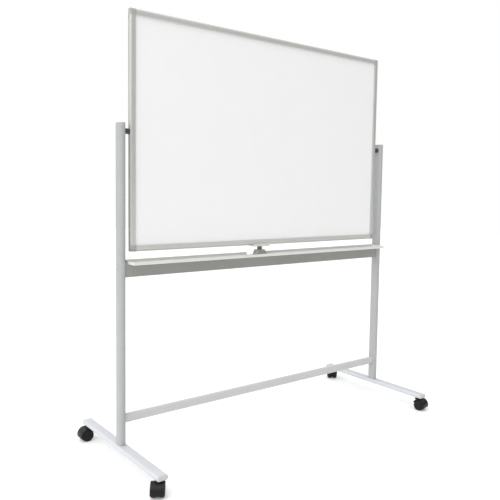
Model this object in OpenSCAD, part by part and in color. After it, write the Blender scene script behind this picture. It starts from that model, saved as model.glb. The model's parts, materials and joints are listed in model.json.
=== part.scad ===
// Rolling whiteboard: a turning double-sided board on a castered steel stand.
// Millimetres. X runs along the board, -Y is the writing side, Z is up, origin on the floor under the centre.

/* [Board] */

// Width of the board over its frame
board_w = 1524; // [1200:4:1800]
// Height of the board over its frame
board_h = 1016; // [800:4:1200]
// Height of the turning axis above the floor
pivot_z = 1428; // [1300:2:1500]
// Face width of the frame rails
rail_w = 26; // [24:1:32]
// Thickness of the frame rails
rail_t = 24; // [23:1:28]
// Radius of the frame's rounded outer edge
rail_nose = 11; // [6:0.5:11]
// Thickness of the writing core
core_t = 7; // [5:0.5:7]
// Thickness of each writing sheet
sheet_t = 0.5; // [0.3:0.1:0.5]
// Outer corner radius of the corner caps
corner_r = 8; // [8:1:14]

/* [Stand] */

// Clear gap between the board edge and each post
pivot_gap = 22; // [16:1:30]
// Width of each post along the board
post_w = 30; // [28:1:36]
// Depth of each post
post_d = 52; // [48:1:60]
// Wall of the steel tubes
tube_wall = 1.5; // [1.2:0.1:1.8]
// Height of each post above the turning axis
post_over = 34; // [30:1:60]
// Overall length of each foot
foot_l = 744; // [640:4:900]
// Width of each foot
foot_w = 50; // [46:1:60]
// Height of each foot tube
foot_h = 22; // [22:1:28]
// Height of the upper crossbar
upper_bar_h = 60; // [50:1:70]
// Depth of the upper crossbar
upper_bar_d = 30; // [28:1:34]
// Height of the lower crossbar
lower_bar_h = 40; // [34:1:46]
// Depth of the lower crossbar
lower_bar_d = 25; // [22:1:28]
// Height of the lower crossbar's middle above the floor
lower_bar_z = 200; // [180:10:500]

/* [Tray] */

// Reach of the tray in front of the board's middle plane
tray_front = 80; // [64:2:110]
// Height of the tray's front lip
tray_lip_h = 12; // [9:0.5:16]
// Height of the tray's rear upstand
tray_back_h = 13; // [8:1:16]

/* [Lock] */

// Position of the lock along the board
lock_x = -60; // [-300:10:300]
// Length of the cradle that holds the lower rail
lock_w = 97; // [70:1:120]
// How far the lock can be pressed down
lock_travel = 10; // [9:0.5:11.5]

/* [Casters] */

// Wheel radius
wheel_r = 28; // [26:1:30]
// Distance from the swivel axis to the wheel axle
caster_trail = 20; // [18:1:22]
// Distance from a foot's end to its swivel axis
caster_inset = 38; // [32:1:60]
// Swivel angle of the front left caster
swivel_fl = 236; // [0:1:359]
// Swivel angle of the front right caster
swivel_fr = 278; // [0:1:359]
// Swivel angle of the rear left caster
swivel_rl = 180; // [0:1:359]
// Swivel angle of the rear right caster
swivel_rr = 56; // [0:1:359]

/* [Hidden] */

fine = 48;
mid = 32;
small = 20;
eps = 0.5;
snug = 0.1;
run = 0.05;

// board
board_hw = board_w / 2;
board_hh = board_h / 2;
board_top = pivot_z + board_hh;
board_bottom = pivot_z - board_hh;
rail_lip_r = 1.5;
panel_in = rail_w - 10;
panel_w = board_w - 2 * panel_in;
panel_h = board_h - 2 * panel_in;
panel_t = core_t + 2 * sheet_t;
slot_slack = 0.03;
groove_w = 6;
groove_d = 3.5;
chamber_u0 = 6.5;
chamber_u1 = panel_in - 2;
chamber_hy = rail_t / 2 - 2.5;
cap_x = rail_w + 4;
cap_z = rail_w + 2;
cap_proud = 0.3;
cap_notch_r = 3;
tongue_l = 25;
screw_in = 39;
screw_head_r = 2.9;
screw_head_h = 2;
screw_r = 1.6;
screw_end = 12;

// pivots
post_x = board_hw + pivot_gap + post_w / 2;
post_in = post_x - post_w / 2;
post_out = post_x + post_w / 2;
pin_r = 6;
bush_r = 8;
flange_r = 12;
flange_gap = 0.4;
block_hz = 30;

// stand
hood_gap = 1.5;
hood_wall = 3.5;
hood_r = wheel_r + hood_gap + hood_wall;
caster_h = wheel_r + hood_r + 5;
foot_z0 = caster_h;
foot_z1 = caster_h + foot_h;
foot_cap_l = 8;
foot_cap_r = 6;
foot_tube_l = foot_l - 2 * foot_cap_l;
post_cap_h = 6;
post_cap_r = 3;
post_z0 = foot_z1;
post_z1 = pivot_z + post_over - post_cap_h;
plug_l = 14;
insert_l = 40;
foot_bolt_y = 13;
foot_bolt_r = 4;
foot_bolt_head_r = 6.5;
foot_bolt_head_h = 4.5;
bar_top = board_bottom - 47;
bar_z = bar_top - upper_bar_h / 2;
bar_corner_r = 3;
bar_bolt_z = [bar_top - 13, bar_top - 36];
bar_bolt_r = 4;
bar_bolt_head_r = 6.5;
bar_bolt_head_h = 3.5;
bar_bolt_l = 60;
low_screw_r = 3;
low_screw_head_r = 5;
low_screw_head_h = 2;

// tray
tray_t = 2;
tray_hl = post_in - 8;
tray_cap_t = 2;
tray_back = upper_bar_d / 2;
tray_lip_z0 = bar_top - 3;
bead_r = 2.2;
tray_notch_x0 = lock_x - 70;
tray_notch_x1 = lock_x + 48;
tray_notch_y = -20;
tray_rib_y = [-26, -46];
tray_screw_x = [-0.78, -0.4, 0.4, 0.78];
tray_screw_r = 2;
tray_screw_head_r = 4;
tray_screw_head_h = 1.6;

// lock
base_h = 24;
base_top_hw = 21;
base_low_hw = 31;
base_hd = 17;
base_floor = 3;
plug_r = 12;
plug_z0 = bar_top + 15;
cradle_z0 = bar_top + 41;
cradle_z1 = bar_top + 54.5;
ramp_z = board_bottom - 0.3;
ramp_y = rail_t / 2 - rail_nose + 2 * (rail_nose + 0.5) * (1 - cos(30));
ramp_run = (cradle_z1 - ramp_z) / tan(30);
cradle_lip = 2.8;
rod_r = 4;
rod_low = bar_top - 14;
bar_hole_r = 5;
spring_mean_r = 7.2;
spring_wire_r = 0.8;
spring_well_r = 9.6;
spring_top = bar_top + 32;
spring_coils = 6;
base_screw_dx = 25.5;
base_screw_z = bar_top + 7;
base_screw_r = 1.75;
base_screw_head_r = 3.2;
base_screw_head_h = 2;

// casters
stem_y = foot_l / 2 - caster_inset;
stem_r = 4;
stem_z0 = wheel_r + 14;
socket_flange_r = 12;
socket_flange_h = 2;
socket_r = 8;
socket_top = foot_z1 - 2;
caster_top = caster_h - socket_flange_h - 0.5;
caster_hw = 28;
web_ht = 6;
web_gap = 1;
boss_r = 6.5;
collar_r = 11;
axle_r = 3.5;
axle_hl = 25.8;
wheel_round = 7;
wheel_dish = 2;
hood_tilt = -20;

// ---------- shared shapes ----------

// a flat oval, long side along X
module flat_oval(long, short) {
  square([long - short, short], center = true);
  for (s = [-1, 1])
    translate([s * (long - short) / 2, 0])
      circle(r = short / 2, $fn = fine);
}

module oval_tube(long, short, wall) {
  difference() {
    flat_oval(long, short);
    flat_oval(long - 2 * wall, short - 2 * wall);
  }
}

// a rounded box outline
module round_box(x, y, r) {
  square([x - 2 * r, y], center = true);
  square([x, y - 2 * r], center = true);
  for (sx = [-1, 1])
    for (sy = [-1, 1])
      translate([sx * (x / 2 - r), sy * (y / 2 - r)])
        circle(r = r, $fn = small);
}

// half the outline of a button: radius, height, edge round
module button_half(radius, h, r) {
  square([radius, h - r]);
  square([radius - r, h]);
  intersection() {
    translate([radius - r, h - r])
      circle(r = r, $fn = mid);
    square([radius, h]);
  }
}

// a flat-oval button with its upper edge rounded, long side along X
module oval_button(long, short, h, r) {
  for (s = [-1, 1])
    translate([s * (long - short) / 2, 0, 0])
      rotate_extrude($fn = fine)
        button_half(short / 2, h, r);
  rotate([90, 0, 90])
    linear_extrude(long - short, center = true) {
      button_half(short / 2, h, r);
      mirror([1, 0])
        button_half(short / 2, h, r);
    }
}

// extrudes a shape drawn as (Y, Z) along X
module along_x(length) {
  rotate([90, 0, 90])
    linear_extrude(length, center = true)
      children();
}

// extrudes a shape drawn as (X, Z) along Y
module along_y(length) {
  rotate([90, 0, 0])
    linear_extrude(length, center = true)
      children();
}

// a rod along X from x0 to x1
module rod_x(x0, x1, y, z, r) {
  translate([min(x0, x1), y, z])
    rotate([0, 90, 0])
      cylinder(h = abs(x1 - x0), r = r, $fn = small);
}

// ---------- stand ----------

module post(side) {
  difference() {
    translate([side * post_x, 0, post_z0])
      linear_extrude(post_z1 - post_z0)
        rotate(90)
          oval_tube(post_d, post_w, tube_wall);
    rod_x(side * (post_in - eps), side * (post_in + tube_wall + eps), 0, pivot_z, pin_r + snug);
    for (z = bar_bolt_z)
      rod_x(side * (post_in - eps), side * (post_out + eps), 0, z, bar_bolt_r + snug);
    rod_x(side * (post_in - eps), side * (post_out + eps), 0, lower_bar_z, low_screw_r + snug);
  }
}

module left_post() color([0.80, 0.81, 0.80]) post(-1);
module right_post() color([0.80, 0.81, 0.80]) post(1);

module post_cap(side) {
  translate([side * post_x, 0, post_z1])
    rotate([0, 0, 90]) {
      oval_button(post_d, post_w, post_cap_h, post_cap_r);
      translate([0, 0, -plug_l])
        linear_extrude(plug_l + eps)
          flat_oval(post_d - 2 * (tube_wall + snug), post_w - 2 * (tube_wall + snug));
    }
}

module left_post_cap() color([0.70, 0.71, 0.69]) post_cap(-1);
module right_post_cap() color([0.70, 0.71, 0.69]) post_cap(1);

module foot(side) {
  difference() {
    translate([side * post_x, 0, foot_z0 + foot_h / 2])
      along_y(foot_tube_l)
        oval_tube(foot_w, foot_h, tube_wall);
    for (s = [-1, 1]) {
      translate([side * post_x, s * foot_bolt_y, foot_z0 - eps])
        cylinder(h = foot_h + 2 * eps, r = foot_bolt_r + snug, $fn = small);
      translate([side * post_x, s * stem_y, foot_z0 - eps])
        cylinder(h = tube_wall + 2 * eps, r = socket_r + snug, $fn = mid);
    }
  }
}

module left_foot() color([0.87, 0.88, 0.90]) foot(-1);
module right_foot() color([0.87, 0.88, 0.90]) foot(1);

module foot_cap(side, way) {
  translate([side * post_x, way * foot_tube_l / 2, foot_z0 + foot_h / 2])
    rotate([-90 * way, 0, 0]) {
      oval_button(foot_w, foot_h, foot_cap_l, foot_cap_r);
      translate([0, 0, -plug_l])
        linear_extrude(plug_l + eps)
          flat_oval(foot_w - 2 * (tube_wall + snug), foot_h - 2 * (tube_wall + snug));
    }
}

module left_foot_front_cap() color([0.84, 0.85, 0.86]) foot_cap(-1, -1);
module left_foot_rear_cap() color([0.84, 0.85, 0.86]) foot_cap(-1, 1);
module right_foot_front_cap() color([0.84, 0.85, 0.86]) foot_cap(1, -1);
module right_foot_rear_cap() color([0.84, 0.85, 0.86]) foot_cap(1, 1);

module upper_crossbar() {
  color([0.60, 0.61, 0.58])
    difference() {
      translate([0, 0, bar_z])
        along_x(2 * post_in)
          difference() {
            round_box(upper_bar_d, upper_bar_h, bar_corner_r);
            square([upper_bar_d - 2 * tube_wall, upper_bar_h - 2 * tube_wall], center = true);
          }
      translate([lock_x, 0, bar_top - tube_wall - eps])
        cylinder(h = tube_wall + 2 * eps, r = bar_hole_r, $fn = mid);
      for (k = tray_screw_x)
        translate([k * tray_hl, 0, bar_top - tube_wall - eps])
          cylinder(h = tube_wall + 2 * eps, r = tray_screw_r, $fn = small);
      for (s = [-1, 1])
        translate([lock_x + s * base_screw_dx, 0, bar_top - tube_wall - eps])
          cylinder(h = tube_wall + 2 * eps, r = base_screw_r, $fn = small);
    }
}

module lower_crossbar() {
  color([0.78, 0.78, 0.76])
    translate([0, 0, lower_bar_z])
      along_x(2 * post_in)
        rotate(90)
          oval_tube(lower_bar_h, lower_bar_d, tube_wall);
}

module crossbar_inserts() {
  color([0.20, 0.20, 0.21])
    for (side = [-1, 1]) {
      difference() {
        translate([side * (post_in - insert_l / 2), 0, bar_z])
          cube([insert_l, upper_bar_d - 2 * (tube_wall + snug), upper_bar_h - 2 * (tube_wall + snug)],
            center = true);
        for (z = bar_bolt_z)
          rod_x(side * (post_in + eps), side * (post_in - insert_l - eps), 0, z, bar_bolt_r);
      }
      difference() {
        translate([side * (post_in - insert_l / 2), 0, lower_bar_z])
          along_x(insert_l)
            rotate(90)
              flat_oval(lower_bar_h - 2 * (tube_wall + snug), lower_bar_d - 2 * (tube_wall + snug));
        rod_x(side * (post_in + eps), side * (post_in - insert_l - eps), 0, lower_bar_z, low_screw_r);
      }
    }
}

module upper_crossbar_bolts() {
  color([0.85, 0.85, 0.84])
    for (side = [-1, 1])
      for (z = bar_bolt_z) {
        rod_x(side * post_out, side * (post_out - bar_bolt_l), 0, z, bar_bolt_r);
        translate([side * post_out, 0, z])
          rotate([0, 90 * side, 0])
            rotate_extrude($fn = mid)
              button_half(bar_bolt_head_r, bar_bolt_head_h, 1.5);
      }
}

module lower_crossbar_screws() {
  color([0.85, 0.85, 0.84])
    for (side = [-1, 1]) {
      rod_x(side * post_out, side * (post_out - bar_bolt_l), 0, lower_bar_z, low_screw_r);
      translate([side * post_out, 0, lower_bar_z])
        rotate([0, 90 * side, 0])
          rotate_extrude($fn = mid)
            button_half(low_screw_head_r, low_screw_head_h, 1);
    }
}

module post_bottom_inserts() {
  color([0.20, 0.20, 0.21])
    for (side = [-1, 1])
      difference() {
        translate([side * post_x, 0, post_z0])
          linear_extrude(insert_l)
            rotate(90)
              flat_oval(post_d - 2 * (tube_wall + snug), post_w - 2 * (tube_wall + snug));
        for (s = [-1, 1])
          translate([side * post_x, s * foot_bolt_y, post_z0 - eps])
            cylinder(h = insert_l + 2 * eps, r = foot_bolt_r, $fn = small);
      }
}

module foot_bolts() {
  color([0.55, 0.55, 0.56])
    for (side = [-1, 1])
      for (s = [-1, 1])
        translate([side * post_x, s * foot_bolt_y, foot_z0]) {
          cylinder(h = foot_h + insert_l - 5, r = foot_bolt_r, $fn = small);
          translate([0, 0, -foot_bolt_head_h])
            cylinder(h = foot_bolt_head_h, r = foot_bolt_head_r, $fn = 6);
        }
}

// ---------- tray ----------

module tray_section() {
  translate([-tray_front + bead_r, bar_top])
    square([tray_front - bead_r + tray_back, tray_t]);
  translate([tray_back - tray_t, bar_top])
    square([tray_t, tray_back_h]);
  translate([-tray_front, tray_lip_z0 + bead_r])
    square([2, tray_lip_h - 2 * bead_r]);
  for (z = [tray_lip_z0 + bead_r, tray_lip_z0 + tray_lip_h - bead_r])
    translate([-tray_front + bead_r, z])
      circle(r = bead_r, $fn = small);
  for (y = tray_rib_y)
    translate([y, bar_top + tray_t])
      circle(r = 0.8, $fn = 16);
}

module marker_tray() {
  color([0.76, 0.77, 0.75])
    difference() {
      along_x(2 * (tray_hl - tray_cap_t))
        tray_section();
      translate([tray_notch_x0, tray_notch_y, bar_top - eps])
        cube([tray_notch_x1 - tray_notch_x0, tray_back - tray_notch_y + eps, tray_back_h + 2 * eps]);
      for (k = tray_screw_x)
        translate([k * tray_hl, 0, bar_top - eps])
          cylinder(h = tray_t + 2 * eps, r = tray_screw_r, $fn = small);
    }
}

module tray_cap(side) {
  translate([side * (tray_hl - tray_cap_t / 2), 0, 0])
    along_x(tray_cap_t)
      polygon([[-tray_front, tray_lip_z0], [-tray_front, tray_lip_z0 + tray_lip_h],
        [tray_back, bar_top + tray_back_h], [tray_back, bar_top],
        [-tray_back - snug, bar_top], [-tray_back - 5, tray_lip_z0]]);
}

module tray_left_cap() color([0.86, 0.87, 0.85]) tray_cap(-1);
module tray_right_cap() color([0.86, 0.87, 0.85]) tray_cap(1);

module tray_screws() {
  color([0.62, 0.62, 0.62]) {
    for (k = tray_screw_x)
      translate([k * tray_hl, 0, bar_top + tray_t]) {
        translate([0, 0, -14])
          cylinder(h = 14, r = tray_screw_r, $fn = small);
        cylinder(h = tray_screw_head_h, r = tray_screw_head_r, $fn = mid);
      }
    for (s = [-1, 1])
      translate([lock_x + s * base_screw_dx, 0, base_screw_z]) {
        translate([0, 0, -16])
          cylinder(h = 16, r = base_screw_r, $fn = small);
        cylinder(h = base_screw_head_h, r = base_screw_head_r, $fn = mid);
      }
  }
}

// ---------- lock ----------

module lock_base() {
  color([0.16, 0.17, 0.17])
    translate([lock_x, 0, bar_top])
      difference() {
        along_y(2 * base_hd)
          polygon([[-base_low_hw, 0], [base_low_hw, 0], [base_low_hw, 3],
            [base_top_hw, base_h], [-base_top_hw, base_h], [-base_low_hw, 3]]);
        translate([0, 0, base_floor])
          cylinder(h = base_h, r = plug_r + run, $fn = fine);
        translate([0, 0, -eps])
          cylinder(h = base_floor + 2 * eps, r = rod_r + run, $fn = mid);
        for (s = [-1, 1])
          translate([s * base_screw_dx, 0, 0]) {
            translate([0, 0, -eps])
              cylinder(h = base_h, r = base_screw_r, $fn = small);
            translate([0, 0, base_screw_z - bar_top])
              cylinder(h = base_h, r = base_screw_head_r + snug, $fn = mid);
          }
      }
}

module lock_head() {
  color([0.84, 0.85, 0.83])
    translate([lock_x, 0, 0])
      along_x(lock_w)
        polygon([[-ramp_y, ramp_z], [ramp_y, ramp_z],
          [ramp_y + ramp_run, cradle_z1], [ramp_y + ramp_run + cradle_lip, cradle_z1],
          [ramp_y + ramp_run + cradle_lip, cradle_z0], [-ramp_y - ramp_run - cradle_lip, cradle_z0],
          [-ramp_y - ramp_run - cradle_lip, cradle_z1], [-ramp_y - ramp_run, cradle_z1]]);
}

module lock_stem() {
  color([0.13, 0.13, 0.14])
    translate([lock_x, 0, 0]) {
      difference() {
        translate([0, 0, plug_z0])
          cylinder(h = cradle_z0 - plug_z0, r = plug_r, $fn = fine);
        translate([0, 0, plug_z0 - eps])
          cylinder(h = spring_top - plug_z0 + eps, r = spring_well_r, $fn = mid);
      }
      translate([0, 0, rod_low])
        cylinder(h = spring_top + 1 - rod_low, r = rod_r, $fn = mid);
    }
}

module lock_spring() {
  z0 = bar_top + base_floor + spring_wire_r + snug;
  z1 = spring_top - spring_wire_r - snug;
  pitch = (z1 - z0) / spring_coils;
  lean = atan(pitch / (4 * spring_mean_r));
  color([0.62, 0.63, 0.65])
    translate([lock_x, 0, z0])
      for (i = [0 : 2 * spring_coils - 1])
        translate([0, 0, (i + 0.5) * pitch / 2])
          rotate([0, 0, 180 * (i % 2)]) {
            rotate([0, lean, 0])
              rotate_extrude(angle = 180, $fn = 24)
                translate([spring_mean_r / cos(lean), 0])
                  circle(r = spring_wire_r, $fn = 14);
            translate([-spring_mean_r, 0, pitch / 4])
              sphere(r = spring_wire_r * 1.03, $fn = 14);
          }
}

// ---------- board ----------

// a flat bar seen from its end: X runs in from the rounded outer edge, half_t is half its thickness
module nosed(reach, half_t, nose) {
  translate([nose, -half_t])
    square([reach - nose, 2 * half_t]);
  translate([0, nose - half_t])
    square([reach, 2 * (half_t - nose)]);
  for (s = [-1, 1])
    translate([nose, s * (half_t - nose)])
      circle(r = nose, $fn = 64);
}

// rail outline: X is the distance in from the board's edge, Y is its thickness
module rail_section() {
  difference() {
    union() {
      nosed(rail_w - rail_lip_r, rail_t / 2, rail_nose);
      translate([rail_nose, rail_lip_r - rail_t / 2])
        square([rail_w - rail_nose, rail_t - 2 * rail_lip_r]);
      for (s = [-1, 1])
        translate([rail_w - rail_lip_r, s * (rail_t / 2 - rail_lip_r)])
          circle(r = rail_lip_r, $fn = mid);
    }
    translate([-eps, -groove_w / 2])
      square([groove_d + eps, groove_w]);
    translate([chamber_u0, -chamber_hy])
      square([chamber_u1 - chamber_u0, 2 * chamber_hy]);
    translate([panel_in, -panel_t / 2 - slot_slack])
      square([rail_w, panel_t + 2 * slot_slack]);
  }
}

// a screw hole through a rail's outer wall, drawn in the rail's own frame along Z
module rail_holes(half_length) {
  for (s = [-1, 1])
    translate([groove_d - eps, 0, s * (half_length - screw_in)])
      rotate([0, 90, 0])
        cylinder(h = chamber_u0 - groove_d + 2 * eps, r = screw_r + snug, $fn = small);
}

module rail(half_length, cut, pivot) {
  difference() {
    linear_extrude(2 * (half_length - cut), center = true)
      rail_section();
    rail_holes(half_length);
    if (pivot)
      translate([-eps, 0, 0])
        rotate([0, 90, 0])
          cylinder(h = chamber_u1 + 2 * eps, r = bush_r + snug, $fn = mid);
  }
}

module rail_top() {
  color([0.80, 0.81, 0.79])
    translate([0, 0, board_top])
      rotate([0, 90, 0])
        rail(board_hw, cap_x, false);
}

module rail_bottom() {
  color([0.80, 0.81, 0.79])
    translate([0, 0, board_bottom])
      rotate([0, -90, 0])
        rail(board_hw, cap_x, false);
}

module rail_left() {
  color([0.80, 0.81, 0.79])
    translate([-board_hw, 0, pivot_z])
      rail(board_hh, cap_z, true);
}

module rail_right() {
  color([0.80, 0.81, 0.79])
    translate([board_hw, 0, pivot_z])
      rotate([0, 0, 180])
        rail(board_hh, cap_z, true);
}

module panel_layer(y0, t) {
  translate([-panel_w / 2, y0, pivot_z - panel_h / 2])
    cube([panel_w, t, panel_h]);
}

module board_front_sheet() color([0.94, 0.94, 0.94]) panel_layer(-panel_t / 2, sheet_t);
module board_core() color([0.72, 0.64, 0.50]) panel_layer(-core_t / 2, core_t);
module board_back_sheet() color([0.94, 0.94, 0.94]) panel_layer(core_t / 2, sheet_t);

// side view of a cap arm
module cap_side(reach) nosed(reach, rail_t / 2 + cap_proud, rail_nose + cap_proud);

module cap_outline() {
  difference() {
    union() {
      translate([corner_r, 0])
        square([cap_x - corner_r, cap_z]);
      translate([0, corner_r])
        square([cap_x, cap_z - corner_r]);
      translate([corner_r, corner_r])
        circle(r = corner_r, $fn = fine);
    }
    translate([rail_w + cap_notch_r, rail_w])
      square([cap_x, cap_z]);
    translate([rail_w, rail_w + cap_notch_r])
      square([cap_x, cap_z]);
    translate([rail_w + cap_notch_r, rail_w + cap_notch_r])
      circle(r = cap_notch_r, $fn = small);
  }
}

// lower left cap with the board's outer corner at the origin
module corner_cap() {
  tongue_t = chamber_u1 - chamber_u0 - 2 * snug;
  tongue_d = 2 * (chamber_hy - snug);
  difference() {
    union() {
      intersection() {
        along_y(2 * rail_t)
          cap_outline();
        linear_extrude(cap_z)
          cap_side(cap_x);
        rotate([90, 0, 90])
          linear_extrude(cap_x)
            rotate(90)
              mirror([0, 1])
                cap_side(cap_z);
      }
      translate([cap_x - 6, -tongue_d / 2, chamber_u0 + snug])
        cube([tongue_l + 6, tongue_d, tongue_t]);
      translate([chamber_u0 + snug, -tongue_d / 2, cap_z - 6])
        cube([tongue_t, tongue_d, tongue_l + 6]);
    }
    translate([panel_in - snug, -panel_t / 2 - slot_slack, panel_in - snug])
      cube([cap_x, panel_t + 2 * slot_slack, cap_z]);
    translate([0, 0, screw_in])
      rotate([0, 90, 0])
        cylinder(h = screw_end + 1, r = screw_r, $fn = small);
    translate([screw_in, 0, 0])
      cylinder(h = screw_end + 1, r = screw_r, $fn = small);
  }
}

module corner(sx, sz) {
  translate([sx * board_hw, 0, pivot_z + sz * board_hh])
    mirror([sx > 0 ? 1 : 0, 0, 0])
      mirror([0, 0, sz > 0 ? 1 : 0])
        corner_cap();
}

module corner_top_left() color([0.62, 0.64, 0.62]) corner(-1, 1);
module corner_top_right() color([0.62, 0.64, 0.62]) corner(1, 1);
module corner_bottom_left() color([0.62, 0.64, 0.62]) corner(-1, -1);
module corner_bottom_right() color([0.62, 0.64, 0.62]) corner(1, -1);

// a screw pointing along +Z with its head's underside at the groove floor
module frame_screw() {
  translate([0, 0, groove_d - screw_head_h])
    cylinder(h = screw_head_h, r = screw_head_r, $fn = small);
  translate([0, 0, groove_d - screw_head_h])
    cylinder(h = screw_end - groove_d + screw_head_h, r = screw_r, $fn = small);
}

module corner_screws() {
  color([0.12, 0.12, 0.12])
    for (s = [-1, 1])
      for (t = [-1, 1]) {
        translate([-s * board_hw, 0, pivot_z + t * (board_hh - screw_in)])
          rotate([0, 90 * s, 0])
            frame_screw();
        translate([s * (board_hw - screw_in), 0, pivot_z - t * board_hh])
          rotate([0, t > 0 ? 0 : 180, 0])
            frame_screw();
      }
}

// ---------- pivots ----------

module pivot_blocks() {
  color([0.66, 0.67, 0.68])
    for (side = [-1, 1])
      difference() {
        translate([side * (board_hw - (chamber_u0 + chamber_u1) / 2), 0, pivot_z])
          cube([chamber_u1 - chamber_u0 - 2 * snug, 2 * (chamber_hy - snug), 2 * block_hz], center = true);
        rod_x(side * (board_hw - chamber_u0 + 2), side * (board_hw - chamber_u1 - 2), 0, pivot_z,
          bush_r + snug);
      }
}

module pivot_bush(side) {
  difference() {
    union() {
      rod_x(side * board_hw, side * (board_hw - chamber_u1), 0, pivot_z, bush_r);
      rod_x(side * (post_in - flange_gap), side * board_hw, 0, pivot_z, flange_r);
    }
    rod_x(side * post_in, side * (board_hw - chamber_u1 - 1), 0, pivot_z, pin_r + run);
  }
}

module left_pivot_bush() color([0.14, 0.15, 0.15]) pivot_bush(-1);
module right_pivot_bush() color([0.14, 0.15, 0.15]) pivot_bush(1);

module pivot_pin(side) {
  rod_x(side * (post_out - tube_wall), side * (board_hw - chamber_u1 + 1), 0, pivot_z, pin_r);
  rod_x(side * (post_out - tube_wall), side * (post_in + tube_wall), 0, pivot_z, pin_r + 2);
}

module left_pivot_pin() color([0.70, 0.71, 0.72]) pivot_pin(-1);
module right_pivot_pin() color([0.70, 0.71, 0.72]) pivot_pin(1);

// ---------- casters ----------

module caster_sockets() {
  color([0.18, 0.18, 0.19])
    for (sx = [-1, 1])
      for (sy = [-1, 1])
        translate([sx * post_x, sy * stem_y, 0])
          difference() {
            union() {
              translate([0, 0, foot_z0 - socket_flange_h])
                cylinder(h = socket_flange_h, r = socket_flange_r, $fn = mid);
              translate([0, 0, foot_z0 - eps])
                cylinder(h = socket_top - foot_z0 + eps, r = socket_r, $fn = mid);
            }
            translate([0, 0, foot_z0 - socket_flange_h - eps])
              cylinder(h = socket_top - foot_z0, r = stem_r, $fn = mid);
          }
}

module caster_stems() {
  color([0.66, 0.67, 0.68])
    for (sx = [-1, 1])
      for (sy = [-1, 1])
        translate([sx * post_x, sy * stem_y, stem_z0])
          cylinder(h = socket_top - 4 - stem_z0, r = stem_r, $fn = mid);
}

// places a caster drawn with its swivel axis at the origin and its wheels towards +X
module place_caster(sx, sy, turn) {
  translate([sx * post_x, sy * stem_y, 0])
    rotate([0, 0, turn])
      children();
}

module hood_cut(drop) {
  rotate(hood_tilt)
    translate([-2 * hood_r, -3 * hood_r - drop])
      square([4 * hood_r, 3 * hood_r]);
}

module caster_body() {
  color([0.12, 0.12, 0.13])
    difference() {
      union() {
        translate([caster_trail, 0, wheel_r]) {
          along_y(2 * caster_hw)
            difference() {
              circle(r = hood_r, $fn = fine);
              circle(r = hood_r - hood_wall, $fn = fine);
              hood_cut(0);
            }
          along_y(2 * web_ht) {
            difference() {
              circle(r = hood_r - 1, $fn = fine);
              hood_cut(6);
            }
            circle(r = 9, $fn = mid);
          }
        }
        translate([0, 0, stem_z0 - 3])
          cylinder(h = caster_top - stem_z0 + 3, r = boss_r, $fn = mid);
        translate([0, 0, caster_top - 9])
          cylinder(h = 9, r = collar_r, $fn = mid);
      }
      translate([0, 0, stem_z0 - 1])
        cylinder(h = caster_h, r = stem_r + run, $fn = mid);
      translate([caster_trail, 0, wheel_r])
        rotate([90, 0, 0])
          cylinder(h = 4 * web_ht, r = axle_r, center = true, $fn = mid);
      for (s = [-1, 1])
        translate([caster_trail, s * (web_ht + caster_hw / 2 + 0.5), wheel_r])
          rotate([90, 0, 0])
            cylinder(h = caster_hw, r = wheel_r + hood_gap, center = true, $fn = fine);
    }
}

module caster_axle() {
  color([0.60, 0.61, 0.62])
    translate([caster_trail, 0, wheel_r])
      rotate([90, 0, 0])
        cylinder(h = 2 * axle_hl, r = axle_r, center = true, $fn = mid);
}

// wheel outline: X is the radius, Y the distance out from the caster's middle
module wheel_section() {
  y0 = web_ht + web_gap;
  difference() {
    union() {
      translate([axle_r + run, y0])
        square([wheel_r - axle_r - run, caster_hw - wheel_round - y0]);
      translate([0, y0])
        square([wheel_r - wheel_round, caster_hw - y0]);
      intersection() {
        translate([wheel_r - wheel_round, caster_hw - wheel_round])
          circle(r = wheel_round, $fn = mid);
        square([wheel_r, caster_hw]);
      }
    }
    translate([0, y0 - eps])
      square([axle_r + run, axle_hl + 0.4 - y0 + eps]);
    translate([wheel_r * 0.36, caster_hw - wheel_dish])
      square([wheel_r * 0.3, wheel_dish + eps]);
  }
}

module caster_wheel(way) {
  color([0.15, 0.15, 0.16])
    translate([caster_trail, 0, wheel_r])
      rotate([-90 * way, 0, 0])
        rotate_extrude($fn = fine)
          wheel_section();
}

module caster_fl_body() place_caster(-1, -1, swivel_fl) caster_body();
module caster_fl_axle() place_caster(-1, -1, swivel_fl) caster_axle();
module caster_fl_wheel_a() place_caster(-1, -1, swivel_fl) caster_wheel(1);
module caster_fl_wheel_b() place_caster(-1, -1, swivel_fl) caster_wheel(-1);
module caster_fr_body() place_caster(1, -1, swivel_fr) caster_body();
module caster_fr_axle() place_caster(1, -1, swivel_fr) caster_axle();
module caster_fr_wheel_a() place_caster(1, -1, swivel_fr) caster_wheel(1);
module caster_fr_wheel_b() place_caster(1, -1, swivel_fr) caster_wheel(-1);
module caster_rl_body() place_caster(-1, 1, swivel_rl) caster_body();
module caster_rl_axle() place_caster(-1, 1, swivel_rl) caster_axle();
module caster_rl_wheel_a() place_caster(-1, 1, swivel_rl) caster_wheel(1);
module caster_rl_wheel_b() place_caster(-1, 1, swivel_rl) caster_wheel(-1);
module caster_rr_body() place_caster(1, 1, swivel_rr) caster_body();
module caster_rr_axle() place_caster(1, 1, swivel_rr) caster_axle();
module caster_rr_wheel_a() place_caster(1, 1, swivel_rr) caster_wheel(1);
module caster_rr_wheel_b() place_caster(1, 1, swivel_rr) caster_wheel(-1);

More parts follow.
